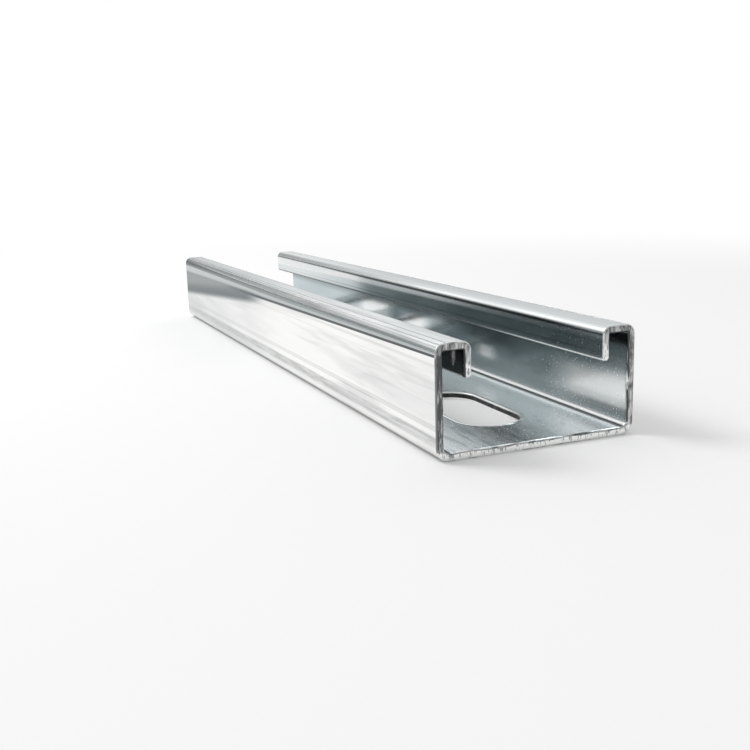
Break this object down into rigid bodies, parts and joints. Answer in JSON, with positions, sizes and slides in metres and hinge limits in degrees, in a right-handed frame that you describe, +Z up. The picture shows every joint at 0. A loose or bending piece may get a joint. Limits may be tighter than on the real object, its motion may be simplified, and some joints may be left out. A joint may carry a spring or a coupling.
{
  "type": "slotted strut channel",
  "caption": "Galvanised steel strut channel: a shallow U with slots through its back and walls that turn in and down into lips along its open side.",
  "frame": {"origin": "middle of the back's outer face, which lies on the floor", "axes": "+X along the length, +Y across the back from wall to wall, +Z up through the open side"},
  "size_m": [0.2, 0.041, 0.021],
  "materials": {
    "galvanised_steel": "bright zinc-galvanised steel strip, smooth and fairly glossy, with faint streaks along its length; cut ends bare and finely marked by the shear"
  },
  "bodies": {
    "root": {"channel": "galvanised_steel"}
  },
  "joints": []
}
